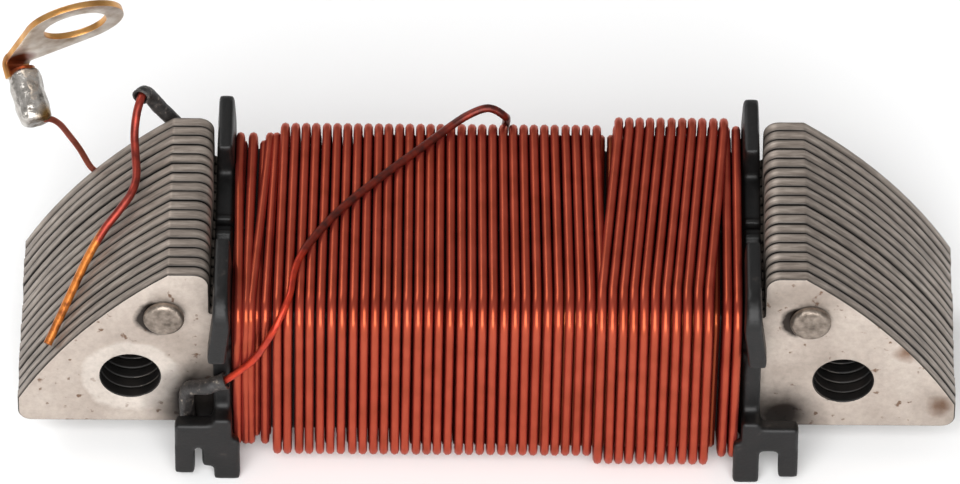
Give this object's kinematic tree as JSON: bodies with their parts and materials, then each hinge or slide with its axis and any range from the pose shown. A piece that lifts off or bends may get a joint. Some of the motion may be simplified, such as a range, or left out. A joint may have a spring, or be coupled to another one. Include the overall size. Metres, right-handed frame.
{
  "type": "magneto ignition coil",
  "caption": "Low-tension flywheel magneto coil: laminated core with two pole shoes and fixing holes, enamelled winding on a split bobbin, sleeved output lead, earth lead with ring terminal",
  "frame": {"origin": "middle of the two fixing holes, on the rear (seating) face of the stack", "axes": "+X along the core to the plain end, +Y out of the seating face, +Z towards the pole arcs"},
  "size_m": [0.0725, 0.0235, 0.031],
  "materials": {
    "sheet_steel": "worn grey-beige electrical steel, cut edges darker",
    "rivet_steel": "dull steel",
    "bobbin_plastic": "moulded black, slightly dusty",
    "winding_wire": "red enamelled copper",
    "crossover_wire": "red enamelled copper, varnished",
    "sleeve_varnish": "black varnished sleeving",
    "output_wire": "red enamelled copper, scraped bare at the end",
    "earth_wire": "dull brown enamel",
    "terminal_brass": "partly tinned",
    "solder": "shiny solder with flux"
  },
  "bodies": {
    "root": {"lamination_01": "sheet_steel", "lamination_02": "sheet_steel", "lamination_03": "sheet_steel", "lamination_04": "sheet_steel", "lamination_05": "sheet_steel", "lamination_06": "sheet_steel", "lamination_07": "sheet_steel", "lamination_08": "sheet_steel", "lamination_09": "sheet_steel", "lamination_10": "sheet_steel", "lamination_11": "sheet_steel", "lamination_12": "sheet_steel", "lamination_13": "sheet_steel", "lamination_14": "sheet_steel", "lamination_15": "sheet_steel", "lamination_16": "sheet_steel", "lamination_17": "sheet_steel", "rivet_left": "rivet_steel", "rivet_right": "rivet_steel", "bobbin_front": "bobbin_plastic", "bobbin_back": "bobbin_plastic", "winding_inner": "winding_wire", "winding_main": "winding_wire", "winding_outer": "winding_wire", "crossover_lead": "crossover_wire", "lead_sleeve": "sleeve_varnish", "output_lead": "output_wire", "earth_lead": "earth_wire", "ring_terminal": "terminal_brass", "solder_joint": "solder"}
  },
  "joints": []
}
